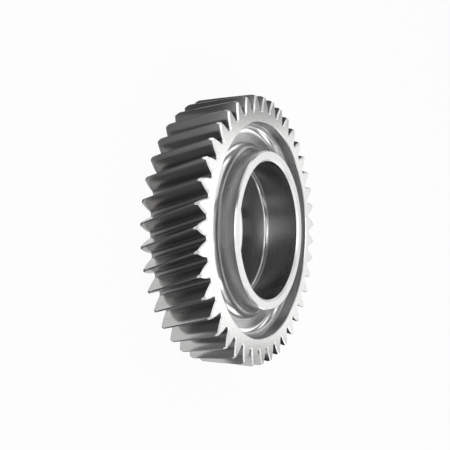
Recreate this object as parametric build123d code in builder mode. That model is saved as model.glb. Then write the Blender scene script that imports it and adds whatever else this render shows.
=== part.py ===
"""Helical gear with a recessed web, a plain bore and a hub that stands proud of the rim.

The gear is one piece: a turned blank whose teeth are cut as involute helicoids, left hand.
Its axis is +Z, and it lies on the back face of its hub, at z = 0. Sizes are in millimetres.
"""

from build123d import *
import os
from math import acos, atan, cos, degrees, pi, radians, sin, tan

# Teeth
tooth_count = 41
normal_module = 3.0
normal_pressure_angle = 22.5
helix_angle = 16.5
addendum = 4.05
dedendum = 4.2
flank_thinning = 0.1
tooth_width = 30.0
tip_chamfer_height = 1.0
tip_chamfer_length = 2.1
tooth_end_chamfer_width = 0.6
tooth_end_chamfer_length = 0.65

# Rim and web
rim_thickness = 5.3
rim_edge_chamfer = 0.4
web_thickness = 9.8
rim_corner_radius = 4.5
hub_corner_radius = 5.5

# Hub and bore
bore_diameter = 70.0
hub_wall = 5.3
hub_edge_chamfer = 0.6
bore_edge_chamfer = 1.0
hub_rise_back = 2.3
hub_rise_front = 3.2
oil_groove_width = 3.0
oil_groove_depth = 0.9
oil_groove_from_back = 16.2

# How finely a tooth space is drawn, and how far its cutter reaches past the blank
flank_points = 4
helix_sections = 3
cutter_overrun = 0.1
cutter_clearance = 0.25

# Gear geometry in the plane across the axis
transverse_module = normal_module / cos(radians(helix_angle))
transverse_pressure_angle = atan(tan(radians(normal_pressure_angle)) / cos(radians(helix_angle)))
pitch_radius = transverse_module * tooth_count / 2
base_radius = pitch_radius * cos(transverse_pressure_angle)
tip_radius = pitch_radius + addendum
root_radius = pitch_radius - dedendum
twist_per_mm = tan(radians(helix_angle)) / pitch_radius

# How near its place a corner of the blank's section is looked for
margin = 0.01

# Radii and heights of the blank
bore_radius = bore_diameter / 2
hub_radius = bore_radius + hub_wall
recess_radius = root_radius - rim_thickness
recess_width = recess_radius - hub_radius
rim_back = hub_rise_back
rim_front = rim_back + tooth_width
hub_front = rim_front + hub_rise_front
middle = rim_back + tooth_width / 2
web_back = middle - web_thickness / 2
web_front = middle + web_thickness / 2
recess_depth = web_back - rim_back
rim_corner = min(rim_corner_radius, 0.45 * recess_width, 0.9 * recess_depth)
hub_corner = min(hub_corner_radius, 0.45 * recess_width, 0.9 * recess_depth)


def involute(angle):
    """The involute function of a pressure angle in radians."""
    return tan(angle) - angle


def pressure_angle_at(radius):
    """The pressure angle of the flank at a radius, and zero inside the base circle."""
    return acos(min(1.0, base_radius / radius))


def space_half_angle(radius, growth):
    """Half the angle of a tooth space at a radius, where its outline is moved out by growth."""
    at_pitch = pi / (2 * tooth_count) + flank_thinning / (2 * pitch_radius)
    widening = involute(pressure_angle_at(radius)) - involute(transverse_pressure_angle)
    return at_pitch + widening + growth / base_radius


def root_arc_start(growth):
    """The radius where the flank runs into the arc that rounds the bottom of the space."""
    radius = root_radius - growth
    for _ in range(12):
        half_angle = space_half_angle(radius, growth)
        slope = half_angle + pressure_angle_at(radius)
        arc_rise = radius * sin(half_angle) * (1 - sin(slope)) / cos(slope)
        radius = root_radius - growth + radius * (1 - cos(half_angle)) + arc_rise
    return radius


def flank_outline(growth, outer_radius):
    """Points up one flank of the space centred on +X, from the root arc to an outer radius."""
    start = root_arc_start(growth)
    end = outer_radius + cutter_clearance
    radii = [start + (end - start) * step / (flank_points - 1) for step in range(flank_points)]
    angles = [space_half_angle(radius, growth) for radius in radii]
    return [(radius * cos(angle), radius * sin(angle)) for radius, angle in zip(radii, angles)]


def twisted_plane(height):
    """The plane across the axis at a height, turned as a left-hand helix turns there."""
    turn = -degrees(twist_per_mm * (height - middle))
    return Plane.XY.offset(height).rotated((0, 0, turn))


def space_outline(height, growth, outer_radius):
    """The outline of one tooth space at a height, moved out by growth, past an outer radius."""
    start = root_arc_start(growth)
    slope = space_half_angle(start, growth) + pressure_angle_at(start)
    upper = flank_outline(growth, outer_radius)
    lower = [(x, -y) for x, y in upper]
    with BuildSketch(twisted_plane(height)) as outline:
        with BuildLine():
            Spline(*upper)
            TangentArc(upper[0], lower[0], tangent=(-cos(slope), -sin(slope)))
            Spline(*lower)
            Line(upper[-1], lower[-1])
        make_face()
    return outline.sketch


# The outlines of one tooth space: along the tooth, and grown past each end of it
flank_low = rim_back + tooth_end_chamfer_length
flank_length = tooth_width - 2 * tooth_end_chamfer_length
flank_heights = [flank_low + flank_length * n / (helix_sections - 1) for n in range(helix_sections)]
flank_outlines = [space_outline(height, 0, tip_radius) for height in flank_heights]
end_overrun = cutter_overrun * tooth_end_chamfer_length
end_growth = tooth_end_chamfer_width * (1 + cutter_overrun)
end_tip_radius = tip_radius - tip_chamfer_height
back_outline = space_outline(rim_back - end_overrun, end_growth, end_tip_radius)
front_outline = space_outline(rim_front + end_overrun, end_growth, end_tip_radius)

# The cutter of one tooth space: a helicoid, flared at both ends to chamfer the tooth ends
with BuildPart() as tooth_space:
    loft(flank_outlines)
    loft([back_outline, flank_outlines[0]], ruled=True)
    loft([flank_outlines[-1], front_outline], ruled=True)

# The turned blank, with the tooth spaces cut into it
with BuildPart() as helical_gear:
    with BuildSketch(Plane.XZ):
        with BuildLine():
            Polyline(
                (bore_radius + bore_edge_chamfer, 0),
                (hub_radius - hub_edge_chamfer, 0),
                (hub_radius, hub_edge_chamfer),
                (hub_radius, web_back),
                (recess_radius, web_back),
                (recess_radius, rim_back + rim_edge_chamfer),
                (recess_radius + rim_edge_chamfer, rim_back),
                (tip_radius - tip_chamfer_height, rim_back),
                (tip_radius, rim_back + tip_chamfer_length),
                (tip_radius, rim_front - tip_chamfer_length),
                (tip_radius - tip_chamfer_height, rim_front),
                (recess_radius + rim_edge_chamfer, rim_front),
                (recess_radius, rim_front - rim_edge_chamfer),
                (recess_radius, web_front),
                (hub_radius, web_front),
                (hub_radius, hub_front - hub_edge_chamfer),
                (hub_radius - hub_edge_chamfer, hub_front),
                (bore_radius + bore_edge_chamfer, hub_front),
                (bore_radius, hub_front - bore_edge_chamfer),
                (bore_radius, bore_edge_chamfer),
                close=True,
            )
        make_face()
        web_corners = vertices().filter_by_position(Axis.Y, web_back - margin, web_front + margin)
        rim_feet = web_corners.filter_by_position(Axis.X, recess_radius - margin, recess_radius + margin)
        fillet(rim_feet, rim_corner)
        web_corners = vertices().filter_by_position(Axis.Y, web_back - margin, web_front + margin)
        hub_feet = web_corners.filter_by_position(Axis.X, hub_radius - margin, hub_radius + margin)
        fillet(hub_feet, hub_corner)
        with Locations((bore_radius, oil_groove_from_back)):
            Rectangle(2 * oil_groove_depth, oil_groove_width, mode=Mode.SUBTRACT)
    revolve(axis=Axis.Z)
    with PolarLocations(0, tooth_count):
        add(tooth_space.part, mode=Mode.SUBTRACT)

helical_gear.part.label = "helical_gear"
os.makedirs("parts", exist_ok=True)
export_step(helical_gear.part, "parts/helical_gear.step")
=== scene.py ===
from math import acos, atan, atan2, cos, hypot, pi, radians, sin, tan

import bmesh
import bpy
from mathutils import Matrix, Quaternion, Vector


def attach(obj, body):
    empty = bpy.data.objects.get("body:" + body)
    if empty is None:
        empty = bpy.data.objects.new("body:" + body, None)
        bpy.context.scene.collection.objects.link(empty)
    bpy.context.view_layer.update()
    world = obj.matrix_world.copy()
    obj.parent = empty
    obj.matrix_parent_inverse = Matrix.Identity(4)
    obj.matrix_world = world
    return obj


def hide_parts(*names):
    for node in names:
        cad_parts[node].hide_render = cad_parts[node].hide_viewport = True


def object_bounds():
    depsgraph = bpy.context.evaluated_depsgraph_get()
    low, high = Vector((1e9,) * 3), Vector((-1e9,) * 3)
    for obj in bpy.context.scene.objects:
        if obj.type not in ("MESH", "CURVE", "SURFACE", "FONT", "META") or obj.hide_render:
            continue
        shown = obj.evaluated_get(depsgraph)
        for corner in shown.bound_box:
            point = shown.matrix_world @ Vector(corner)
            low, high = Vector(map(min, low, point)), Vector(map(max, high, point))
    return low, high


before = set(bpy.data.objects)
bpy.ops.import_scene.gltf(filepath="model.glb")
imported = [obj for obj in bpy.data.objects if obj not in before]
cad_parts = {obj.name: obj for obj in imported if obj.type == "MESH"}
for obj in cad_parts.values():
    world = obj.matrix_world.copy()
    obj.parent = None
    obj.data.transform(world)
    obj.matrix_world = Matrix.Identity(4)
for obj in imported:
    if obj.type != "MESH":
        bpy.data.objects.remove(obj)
cad_low, cad_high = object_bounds()
mm = 0.001

# Teeth
tooth_count = 41
normal_module = 3.0 * mm
normal_pressure_angle = radians(22.5)
helix_angle = radians(16.5)
addendum = 4.05 * mm
dedendum = 4.2 * mm
flank_thinning = 0.1 * mm
tip_chamfer_height = 1.0 * mm
tip_chamfer_length = 2.1 * mm
end_chamfer_width = 0.6 * mm
end_chamfer_length = 0.65 * mm

# Rim, web, hub and bore
tooth_width = 30.0 * mm
rim_thickness = 5.3 * mm
rim_edge_chamfer = 0.4 * mm
web_thickness = 9.8 * mm
rim_corner_radius = 4.5 * mm
hub_corner_radius = 5.5 * mm
bore_radius = 35.0 * mm
hub_wall = 5.3 * mm
hub_edge_chamfer = 0.6 * mm
bore_edge_chamfer = 1.0 * mm
hub_rise_back = 2.3 * mm
hub_rise_front = 3.2 * mm
groove_width = 3.0 * mm
groove_depth = 0.9 * mm
groove_from_back = 16.2 * mm
groove_corner = 0.85 * mm

# Gear geometry in the plane across the axis
pitch_radius = normal_module / cos(helix_angle) * tooth_count / 2
pressure_angle = atan(tan(normal_pressure_angle) / cos(helix_angle))
base_radius = pitch_radius * cos(pressure_angle)
tip_radius = pitch_radius + addendum
root_radius = pitch_radius - dedendum
twist_per_metre = tan(helix_angle) / pitch_radius
hub_radius = bore_radius + hub_wall
recess_radius = root_radius - rim_thickness
rim_back = cad_low.z + hub_rise_back
rim_front = rim_back + tooth_width
hub_front = rim_front + hub_rise_front
middle = rim_back + tooth_width / 2
web_back = middle - web_thickness / 2
web_front = middle + web_thickness / 2

# How finely the mesh is divided, how often the root arc's start is refined, the angle from which an
# edge is sharp, and how level a piece of the recess is that counts as the web's flat floor
root_steps = 5
root_refinings = 12
flank_steps = 9
tip_steps = 2
length_steps = 12
tip_chamfer_steps = 4
turns_per_tooth = 6
corner_steps = 10
groove_steps = 5
sharp_edge = radians(28)
flat_within = 0.01 * mm

# The camera: where it stands, the point it looks at, its roll and its lens
camera_place = Vector((-295.2, 60.5, 171.6)) * mm
camera_aim = Vector((-15.62, 5.86, 17.3)) * mm
camera_roll = radians(89.8)
camera_lens = 52.14
film_width = 36
nearest_seen = 0.01

# The floor, and how far out and how high its edge turns up
floor_reach = 6.0
floor_upturn = 1.8
floor_grey = 0.86
floor_white = 0.94

# Cards that only reflections show, which paint darker reflections on the gear: a grey tray on the camera's
# side of the gear, a dark one on the other side, and a low wall round both, paler over a part of the way
card_lift = 0.3 * mm
card_steps = 48
tray_inner = 72 * mm
tray_outer = 130 * mm
tray_middle = radians(165)
tray_spread = radians(140)
tray_level = 0.22
gap_inner = 50 * mm
gap_middle = radians(-35)
gap_spread = radians(136)
gap_level = 0.05
wall_height = 36 * mm
wall_middle = radians(220)
wall_spread = radians(150)
wall_level = 0.32
far_wall_level = 0.1

# Cards on the bore's ground: a dark disc that paints shade in the bore, two pale bands that its wall shows
# as painted reflections, and the groove's bright spot, a painted highlight
bore_level = 0.13
fan_steps = 8
far_band_level = 0.6
near_band_level = 0.28
band_apex = (17.1 * mm, -3.5 * mm)
band_reach = 50 * mm
bands = [(radians(158), radians(191)), (radians(212), radians(232))]
spot_middle = (3.4 * mm, 1.0 * mm)
spot_radius = 4.2 * mm
spot_steps = 24
spot_level = 2.3

# The light: the world's strength, and softboxes at one distance from the gear, each with its
# azimuth, elevation, width and height in degrees and the strength of the white card that it is
world_strength = 0.3
lamp_distance = 1.1
softboxes = [
    ("face_light", -12.3, 36, 24.5, 30, 1.3),
    ("low_right", -52, 31, 18, 16, 1.5),
    ("far_right", -88, 12, 14, 10, 3.0),
    ("right", -98, 32, 40, 16, 0.6),
    ("right_strip", -112, 31, 10, 8, 1.6),
    ("claw_right", -54, 13, 14, 12, 1.5),
    ("claw_left", 57, 33, 14, 16, 0.6),
    ("recess_light", 22, 34, 12, 16, 1.4),
    ("left", 88, 38, 60, 24, 0.8),
    ("left_low", 108, 15, 50, 12, 1.4),
    ("front", 167, 60, 40, 24, 1.1),
    ("front_low", 167, 38, 40, 18, 0.5),
    ("overhead", 150, 72, 30, 30, 1.2),
    ("overhead_right", -135, 50, 60, 22, 1.3),
]

# Finishes, in the order of the mesh's material slots
END_FACE, PAINTED_LIT_EDGE, LAND, PAINTED_SHADED_REAR_EDGE, SHADED_UPPER_FLANK, LIT_LOWER_FLANK = range(6)
RECESS, WEB_FLOOR, RIM_WALL, HUB_WALL, HUB_FACE, GROOVE, BORE = range(6, 13)


def involute(angle):
    """The involute function of a pressure angle."""
    return tan(angle) - angle


def pressure_angle_at(radius):
    """The pressure angle of the flank at a radius, and zero inside the base circle."""
    return acos(min(1.0, base_radius / radius))


def space_half_angle(radius, growth):
    """Half the angle of a tooth space at a radius, where its outline is moved out by growth."""
    at_pitch = pi / (2 * tooth_count) + flank_thinning / (2 * pitch_radius)
    widening = involute(pressure_angle_at(radius)) - involute(pressure_angle)
    return at_pitch + widening + growth / base_radius


def root_arc_start(growth):
    """The radius where the flank runs into the arc that rounds the bottom of the space."""
    radius = root_radius - growth
    for _ in range(root_refinings):
        half_angle = space_half_angle(radius, growth)
        slope = half_angle + pressure_angle_at(radius)
        arc_rise = radius * sin(half_angle) * (1 - sin(slope)) / cos(slope)
        radius = root_radius - growth + radius * (1 - cos(half_angle)) + arc_rise
    return radius


def half_tooth(growth, outer):
    """Polar points (radius, angle) from the middle of a space up its flank to the tooth's middle."""
    start = root_arc_start(growth)
    half_angle = space_half_angle(start, growth)
    slope = half_angle + pressure_angle_at(start)
    arc_radius = start * sin(half_angle) / cos(slope)
    arc_centre = start * cos(half_angle) + arc_radius * sin(slope)
    points = []
    for n in range(root_steps):
        turn = pi - (pi / 2 - slope) * n / root_steps
        x = arc_centre + arc_radius * cos(turn)
        y = arc_radius * sin(turn)
        points.append((hypot(x, y), atan2(y, x)))
    for n in range(flank_steps + 1):
        radius = start + (outer - start) * n / flank_steps
        points.append((radius, space_half_angle(radius, growth)))
    corner = points[-1][1]
    for n in range(1, tip_steps + 1):
        points.append((outer, corner + (pi / tooth_count - corner) * n / tip_steps))
    return points


def tooth_outline(height):
    """Polar points of one pitch at a height, from the middle of a space to just before the next."""
    from_end = min(height - rim_back, rim_front - height)
    growth = end_chamfer_width * max(0, 1 - from_end / end_chamfer_length)
    outer = tip_radius - tip_chamfer_height * max(0, 1 - from_end / tip_chamfer_length)
    rising = half_tooth(growth, outer)
    pitch_angle = 2 * pi / tooth_count
    falling = [(radius, pitch_angle - angle) for radius, angle in reversed(rising[1:-1])]
    turn = -twist_per_metre * (height - middle)
    return [(radius, angle + turn) for radius, angle in rising + falling]


def tooth_heights():
    """The heights of the rings along the teeth, close together where the ends are chamfered."""
    inner = [tip_chamfer_length * n / tip_chamfer_steps for n in range(2, tip_chamfer_steps)]
    low = [0, end_chamfer_length] + inner
    body_length = tooth_width - 2 * tip_chamfer_length
    body = [tip_chamfer_length + body_length * n / length_steps for n in range(length_steps + 1)]
    high = [tooth_width - step for step in reversed(low)]
    return [rim_back + step for step in low + body + high]


def add_teeth(mesh):
    """The toothed skin, from the back face of the rim to its front face, as rings of vertices."""
    heights = tooth_heights()
    rings = []
    for height in heights:
        outline = tooth_outline(height)
        ring = []
        for tooth in range(tooth_count):
            turn = 2 * pi * tooth / tooth_count
            for radius, angle in outline:
                place = (radius * cos(angle + turn), radius * sin(angle + turn), height)
                ring.append(mesh.verts.new(place))
        rings.append(ring)
    points = len(rings[0]) // tooth_count
    tip_first = root_steps + flank_steps
    tip_last = points - tip_first
    for row, (low, high) in enumerate(zip(rings, rings[1:])):
        height = (heights[row] + heights[row + 1]) / 2
        for n in range(len(low)):
            after = (n + 1) % len(low)
            skin = mesh.faces.new((low[n], low[after], high[after], high[n]))
            on_tip = tip_first <= n % points < tip_last
            on_root = n % points < root_steps or n % points >= points - root_steps
            chamfer = tip_chamfer_length if on_tip else end_chamfer_length
            # Chamfers at the front end take a near-white tone, a painted highlight, and those at the back
            # end a near-black one, painted shade
            if rim_front - height < chamfer:
                skin.material_index = PAINTED_LIT_EDGE
            elif height - rim_back < chamfer:
                skin.material_index = PAINTED_SHADED_REAR_EDGE
            elif on_tip or on_root:
                skin.material_index = LAND
            # The two flanks take lit and shaded copies of one finish: a paler tone painted on one side of
            # each tooth, a darker one on the other
            elif n % points < tip_first:
                skin.material_index = LIT_LOWER_FLANK
            else:
                skin.material_index = SHADED_UPPER_FLANK
            skin.smooth = True
    return rings[0], rings[-1]


def corner(centre_radius, centre_height, size, from_angle, to_angle, steps):
    """Points (radius, height) of a round corner of the turned section."""
    points = []
    for n in range(steps + 1):
        angle = from_angle + (to_angle - from_angle) * n / steps
        points.append((centre_radius + size * cos(angle), centre_height + size * sin(angle)))
    return points


def recess_section(face, web, side):
    """The recess from the rim's face to the hub, as (radius, height); side is 1 in front, -1 behind."""
    rim_corner = corner(
        recess_radius - rim_corner_radius, web + side * rim_corner_radius, rim_corner_radius,
        0, -side * pi / 2, corner_steps,
    )
    hub_corner = corner(
        hub_radius + hub_corner_radius, web + side * hub_corner_radius, hub_corner_radius,
        -side * pi / 2, -side * pi, corner_steps,
    )
    return [(recess_radius, face - side * rim_edge_chamfer)] + rim_corner + hub_corner


def recess_run(points):
    """Points of a recess but the last, each with the finish of the piece that starts there."""
    level = [abs(point[1] - after[1]) < flat_within for point, after in zip(points, points[1:])]
    return [(point, WEB_FLOOR if flat else RECESS) for point, flat in zip(points, level)]


def groove_section():
    """The lubrication groove from front to back, as (radius, height), with its feet rounded."""
    centre = bore_radius + groove_depth - groove_corner
    high = groove_from_back + groove_width / 2
    low = groove_from_back - groove_width / 2
    front_foot = corner(centre, high - groove_corner, groove_corner, pi / 2, 0, groove_steps)
    rear_foot = corner(centre, low + groove_corner, groove_corner, 0, -pi / 2, groove_steps)
    return [(bore_radius, high)] + front_foot + rear_foot + [(bore_radius, low)]


def turned_section():
    """The turned section from the rim's front face round to its back face, with each finish."""
    front_recess = recess_section(rim_front, web_front, 1)
    back_recess = recess_section(rim_back, web_back, -1)
    groove = groove_section()
    return [
        ((recess_radius + rim_edge_chamfer, rim_front), END_FACE),
        (front_recess[0], RIM_WALL),
        *recess_run(front_recess[1:]),
        (front_recess[-1], HUB_WALL),
        ((hub_radius, hub_front - hub_edge_chamfer), HUB_FACE),
        ((hub_radius - hub_edge_chamfer, hub_front), HUB_FACE),
        # The bore's front chamfer takes the same near-white tone, a painted highlight
        ((bore_radius + bore_edge_chamfer, hub_front), PAINTED_LIT_EDGE),
        ((bore_radius, hub_front - bore_edge_chamfer), BORE),
        *[(point, GROOVE) for point in groove[:-1]],
        (groove[-1], BORE),
        ((bore_radius, bore_edge_chamfer), HUB_FACE),
        ((bore_radius + bore_edge_chamfer, 0), HUB_FACE),
        ((hub_radius - hub_edge_chamfer, 0), HUB_FACE),
        ((hub_radius, hub_edge_chamfer), HUB_WALL),
        *recess_run(back_recess[:0:-1]),
        (back_recess[1], RIM_WALL),
        (back_recess[0], END_FACE),
        ((recess_radius + rim_edge_chamfer, rim_back), END_FACE),
    ]


def add_turned_body(mesh):
    """The recesses, the hub and the bore, turned round the axis as rings of vertices."""
    section = turned_section()
    count = tooth_count * turns_per_tooth
    turns = [2 * pi * n / count for n in range(count)]
    rings = []
    for (radius, height), _ in section:
        rings.append([mesh.verts.new((radius * cos(a), radius * sin(a), height)) for a in turns])
    for (outer, inner), (_, finish) in zip(zip(rings, rings[1:]), section):
        for n in range(count):
            after = (n + 1) % count
            skin = mesh.faces.new((outer[n], inner[n], inner[after], outer[after]))
            skin.material_index = finish
            skin.smooth = True
    return rings[-1], rings[0]


def add_end_face(mesh, teeth, rim):
    """The flat annulus between the tooth ends and the edge of the recess, one face a tooth."""
    points = len(teeth) // tooth_count
    for tooth in range(tooth_count):
        outer = [teeth[(tooth * points + n) % len(teeth)] for n in range(points + 1)]
        inner = [rim[(tooth * turns_per_tooth + n) % len(rim)] for n in range(turns_per_tooth + 1)]
        skin = mesh.faces.new(outer + list(reversed(inner)))
        skin.material_index = END_FACE


def build_gear(finishes):
    """The whole gear as one closed mesh that stands for the solid."""
    mesh = bmesh.new()
    teeth_back, teeth_front = add_teeth(mesh)
    rim_back_edge, rim_front_edge = add_turned_body(mesh)
    add_end_face(mesh, teeth_front, rim_front_edge)
    add_end_face(mesh, teeth_back, rim_back_edge)
    bmesh.ops.recalc_face_normals(mesh, faces=mesh.faces)
    gear = stand_mesh("helical_gear_skin", mesh)
    for finish in finishes:
        gear.data.materials.append(finish)
    gear.data.set_sharp_from_angle(angle=sharp_edge)
    return gear


def stand_mesh(name, mesh):
    """An object in the scene that holds a finished mesh."""
    data = bpy.data.meshes.new(name)
    mesh.to_mesh(data)
    mesh.free()
    thing = bpy.data.objects.new(name, data)
    bpy.context.scene.collection.objects.link(thing)
    return thing


class Signal:
    """A socket of a material, whose arithmetic adds Math nodes."""

    def __init__(self, sheet, socket):
        self.sheet = sheet
        self.socket = socket

    def math(self, operation, *values):
        names = dict(enumerate((self, *values)))
        return self.sheet.node("ShaderNodeMath", {"operation": operation}, names)

    def __add__(self, other):
        return self.math("ADD", other)

    def __radd__(self, other):
        return self.math("ADD", other)

    def __mul__(self, other):
        return self.math("MULTIPLY", other)

    def __rmul__(self, other):
        return self.math("MULTIPLY", other)

    def __truediv__(self, other):
        return self.math("DIVIDE", other)

    def __rtruediv__(self, other):
        return self.math("POWER", -1) * other


class Sheet:
    """The nodes of one material or world."""

    def __init__(self, tree):
        self.tree = tree
        tree.nodes.clear()

    def node(self, kind, settings=None, values=None, output=0):
        """A new node: its settings first, then its sockets' values or links. Returns one output."""
        made = self.tree.nodes.new(kind)
        for name, setting in (settings or {}).items():
            setattr(made, name, setting)
        for name, value in (values or {}).items():
            if isinstance(value, Signal):
                self.tree.links.new(value.socket, made.inputs[name])
            else:
                made.inputs[name].default_value = value
        return Signal(self, made.outputs[output]) if made.outputs else None

    def mix_colour(self, amount, first, second):
        return self.node("ShaderNodeMix", {"data_type": "RGBA"}, {0: amount, 6: first, 7: second}, 2)


def grey(level, warmth=0.0):
    """A neutral colour of a linear level, a little warmer or cooler."""
    return (level * (1 + warmth), level, level * (1 - warmth), 1.0)


def new_material(name):
    """A material without nodes, and the sheet that adds them."""
    material = bpy.data.materials.new(name)
    material.use_nodes = True
    return material, Sheet(material.node_tree)


def cylinder_places(sheet):
    """The surface point as (radius, angle, height) round the gear's axis."""
    place = sheet.node("ShaderNodeTexCoord", output="Object")
    x = sheet.node("ShaderNodeSeparateXYZ", values={"Vector": place})
    y, z = [Signal(sheet, socket) for socket in x.socket.node.outputs[1:]]
    radius = (x * x + y * y).math("SQRT")
    return radius, y.math("ARCTAN2", x), z


def noise(sheet, x, y, z):
    """Noise between 0 and 1 over three numbers."""
    place = sheet.node("ShaderNodeCombineXYZ", values={"X": x, "Y": y, "Z": z})
    values = {"Vector": place, "Scale": 1.0, "Detail": 2.0, "Roughness": 0.5}
    return sheet.node("ShaderNodeTexNoise", values=values)


def turning_marks(sheet, pitch):
    """Fine rings round the axis, as a lathe tool leaves them, broken up a little on the way round."""
    breaks = 1.5
    radius, angle, height = cylinder_places(sheet)
    return noise(sheet, radius / pitch, angle * breaks, height / pitch)


def grain(sheet, size):
    """Fine mottling, as a ground face shows."""
    place = sheet.node("ShaderNodeTexCoord", output="Object")
    values = {"Vector": place, "Scale": 1 / size, "Detail": 2.0, "Roughness": 0.6}
    return sheet.node("ShaderNodeTexNoise", values=values)


def tooth_streaks(sheet, length):
    """Streaks along the teeth, fine across them and as long as given."""
    streaks_per_radian = 260
    depth = 1.2 * mm
    radius, angle, height = cylinder_places(sheet)
    across = angle + height * twist_per_metre
    return noise(sheet, across * streaks_per_radian, radius / depth, height / length)


def steel(name, pattern, size, tones, roughness, warmth=0.0):
    """Bare steel whose tone and roughness run between two values with a pattern of a size."""
    material, sheet = new_material(name)
    dark, pale = tones
    smooth, rough = roughness
    marks = pattern(sheet, size)
    values = {
        "Base Color": sheet.mix_colour(marks, grey(dark, warmth), grey(pale, warmth)),
        "Roughness": marks * (rough - smooth) + smooth,
        "Metallic": 1.0,
    }
    shader = sheet.node("ShaderNodeBsdfPrincipled", values=values)
    sheet.node("ShaderNodeOutputMaterial", values={"Surface": shader})
    return material


def gear_finishes():
    """The gear's finishes, in the order of the mesh's material slots."""
    return [
        steel("ground_end_face", grain, 0.8 * mm, (0.52, 0.82), (0.18, 0.26), 0.01),
        # The front chamfers' near-white tone is a painted highlight, and the rear chamfers' dark tone two
        # lines below is painted shade
        steel("painted_highlight_end_edge", turning_marks, 0.5 * mm, (0.86, 0.94), (0.34, 0.44)),
        steel("dark_land", turning_marks, 0.8 * mm, (0.26, 0.36), (0.38, 0.48)),
        steel("painted_shade_rear_edge", turning_marks, 0.8 * mm, (0.1, 0.16), (0.38, 0.48)),
        # One flank finish in two copies: the upper flank's darker tone is painted shade, the lower flank's
        # paler tone painted light
        steel("painted_shade_upper_flank", tooth_streaks, 14 * mm, (0.34, 0.44), (0.18, 0.24), 0.01),
        steel("painted_lit_lower_flank", tooth_streaks, 14 * mm, (0.42, 0.56), (0.18, 0.24), 0.01),
        steel("turned_recess", turning_marks, 0.6 * mm, (0.56, 0.76), (0.12, 0.2)),
        steel("faced_web", turning_marks, 0.6 * mm, (0.34, 0.5), (0.24, 0.32)),
        steel("turned_rim_wall", turning_marks, 0.7 * mm, (0.2, 0.42), (0.2, 0.32)),
        steel("turned_hub_wall", turning_marks, 0.9 * mm, (0.5, 0.66), (0.22, 0.3)),
        steel("ground_hub_face", grain, 0.7 * mm, (0.42, 0.66), (0.16, 0.24), 0.005),
        # The groove's tone, far paler than the bore's, is a painted highlight
        steel("smooth_painted_highlight_groove", turning_marks, 0.4 * mm, (0.7, 0.82), (0.1, 0.16)),
        steel("honed_bore", turning_marks, 0.4 * mm, (0.24, 0.32), (0.22, 0.3)),
    ]


def place_camera():
    data = bpy.data.cameras.new("camera")
    data.lens = camera_lens
    data.sensor_width = film_width
    data.clip_start = nearest_seen
    camera = bpy.data.objects.new("camera", data)
    look = (camera_aim - camera_place).to_track_quat("-Z", "Y")
    camera.rotation_euler = (look @ Quaternion((0, 0, 1), camera_roll)).to_euler()
    camera.location = camera_place
    bpy.context.scene.collection.objects.link(camera)
    bpy.context.scene.camera = camera


def seen_white(sheet, plain, level):
    """A shader that shows nearly white to the camera and in reflections, and plain to other rays."""
    path = sheet.node("ShaderNodeLightPath")
    rays = path.socket.node.outputs
    camera_ray = Signal(sheet, rays["Is Camera Ray"])
    glossy_ray = Signal(sheet, rays["Is Glossy Ray"])
    through_ray = Signal(sheet, rays["Is Transmission Ray"])
    seen = (camera_ray + glossy_ray + through_ray).math("MINIMUM", 1.0)
    white = sheet.node("ShaderNodeEmission", values={"Color": grey(1.0), "Strength": 1.0})
    return sheet.node("ShaderNodeMixShader", values={0: seen * level, 1: plain, 2: white})


def lay_floor():
    """The white floor, whose far edge turns up so that a low view has no dark horizon."""
    mesh = curved_strip((floor_reach, 0), (floor_reach, floor_upturn), 0, 2 * pi)
    bmesh.ops.create_circle(mesh, cap_ends=True, segments=card_steps, radius=floor_reach)
    floor = stand_mesh("floor", mesh)
    material, sheet = new_material("pale_floor")
    pale = sheet.node("ShaderNodeBsdfDiffuse", values={"Color": grey(floor_grey)})
    shader = seen_white(sheet, pale, floor_white)
    sheet.node("ShaderNodeOutputMaterial", values={"Surface": shader})
    floor.data.materials.append(material)


def plain_card(name, mesh, level):
    """A flat grey card outside the picture: only reflections show it, and it throws no shadow."""
    material, sheet = new_material(name)
    shade = sheet.node("ShaderNodeEmission", values={"Color": grey(level), "Strength": 1.0})
    sheet.node("ShaderNodeOutputMaterial", values={"Surface": shade})
    card = stand_mesh(name, mesh)
    card.data.materials.append(material)
    card.visible_camera = False
    card.visible_diffuse = False
    card.visible_transmission = False
    card.visible_volume_scatter = False
    card.visible_shadow = False


def curved_strip(inner, outer, middle_angle, spread):
    """A strip bent round the gear's axis, between two (radius, height) edges."""
    mesh = bmesh.new()
    edges = []
    for n in range(card_steps + 1):
        angle = middle_angle + spread * (n / card_steps - 0.5)
        edges.append([mesh.verts.new((r * cos(angle), r * sin(angle), z)) for r, z in (inner, outer)])
    for (low, high), (next_low, next_high) in zip(edges, edges[1:]):
        mesh.faces.new((low, high, next_high, next_low))
    return mesh


def disc(place, radius, lift, steps):
    """A flat disc that lies a little over the ground."""
    mesh = bmesh.new()
    bmesh.ops.create_circle(mesh, cap_ends=True, segments=steps, radius=radius)
    for vertex in mesh.verts:
        vertex.co += Vector((*place, lift))
    return mesh


def fan(low, high, near):
    """The part of the bore's ground that its wall sees between two directions, as a flat sector.

    The far part reaches out from the apex, and the near one back to the wall that shows it.
    """
    mesh = bmesh.new()
    x, y = band_apex
    turns = [low + (high - low) * n / fan_steps for n in range(fan_steps + 1)]
    edge = [(x + band_reach * cos(turn), y + band_reach * sin(turn)) for turn in turns]
    if near:
        facing = atan2(camera_place.y, camera_place.x)
        walls = [(turn + facing) / 2 - pi for turn in turns]
        edge = [(bore_radius * cos(place), bore_radius * sin(place)) for place in walls]
    mesh.faces.new([mesh.verts.new((px, py, 2 * card_lift)) for px, py in [band_apex] + edge])
    return mesh


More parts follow.
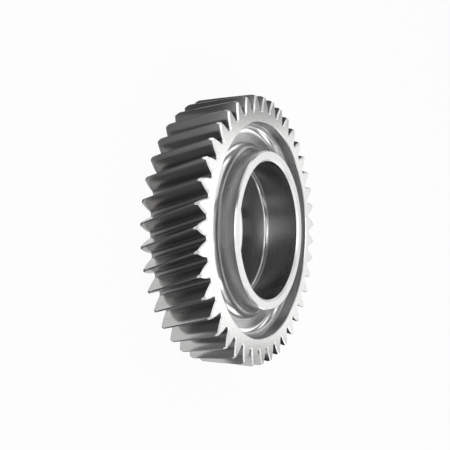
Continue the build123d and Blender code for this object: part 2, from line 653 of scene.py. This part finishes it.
def stand_cards():
    """The grey cards that the flanks and the bore reflect: painted dark reflections, pale painted
    reflection bands and the groove's painted highlight.
    """
    tray = curved_strip((tray_inner, card_lift), (tray_outer, card_lift), tray_middle, tray_spread)
    gap = curved_strip((gap_inner, card_lift), (tray_outer, card_lift), gap_middle, gap_spread)
    wall_foot = (tray_outer, card_lift)
    wall_top = (tray_outer, wall_height)
    wall = curved_strip(wall_foot, wall_top, wall_middle, wall_spread)
    far_wall = curved_strip(wall_foot, wall_top, wall_middle + pi, 2 * pi - wall_spread)
    # Grey and near-black cards that paint dark reflections on the teeth and painted shade in the bore
    plain_card("tray_card", tray, tray_level)
    plain_card("gap_card", gap, gap_level)
    plain_card("wall_card", wall, wall_level)
    plain_card("far_wall_card", far_wall, far_wall_level)
    bore_disc = disc((0, 0), bore_radius - bore_edge_chamfer, card_lift, card_steps)
    plain_card("bore_card", bore_disc, bore_level)
    # Pale bands that paint a reflection on the bore's wall, and a glowing spot that paints the groove's
    # highlight
    for number, (low, high) in enumerate(bands):
        plain_card(f"far_band_{number}", fan(low, high, False), far_band_level)
        plain_card(f"near_band_{number}", fan(low, high, True), near_band_level)
    spot = disc(spot_middle, spot_radius, 3 * card_lift, spot_steps)
    plain_card("painted_groove_highlight", spot, spot_level)


def light_world():
    world = bpy.data.worlds.new("studio")
    world.use_nodes = True
    bpy.context.scene.world = world
    sheet = Sheet(world.node_tree)
    values = {"Color": grey(1.0), "Strength": world_strength}
    plain = sheet.node("ShaderNodeBackground", values=values)
    sheet.node("ShaderNodeOutputWorld", values={"Surface": plain})


def add_softbox(name, azimuth, elevation, wide, tall, brightness):
    """A lamp aimed at the gear from a direction in degrees, as bright as a white card of that strength."""
    data = bpy.data.lights.new(name, "AREA")
    data.shape = "RECTANGLE"
    data.size = 2 * lamp_distance * tan(radians(wide / 2))
    data.size_y = 2 * lamp_distance * tan(radians(tall / 2))
    data.energy = brightness * pi * data.size * data.size_y
    lamp = bpy.data.objects.new(name, data)
    around = radians(azimuth)
    above = radians(elevation)
    away = Vector((cos(above) * cos(around), cos(above) * sin(around), sin(above)))
    lamp.location = away * lamp_distance
    lamp.rotation_euler = away.to_track_quat("Z", "Y").to_euler()
    bpy.context.scene.collection.objects.link(lamp)


place_camera()
lay_floor()
stand_cards()
light_world()
for softbox in softboxes:
    add_softbox(*softbox)
gear = build_gear(gear_finishes())
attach(gear, "root")
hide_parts("helical_gear")
bpy.context.scene.view_settings.view_transform = "Standard"
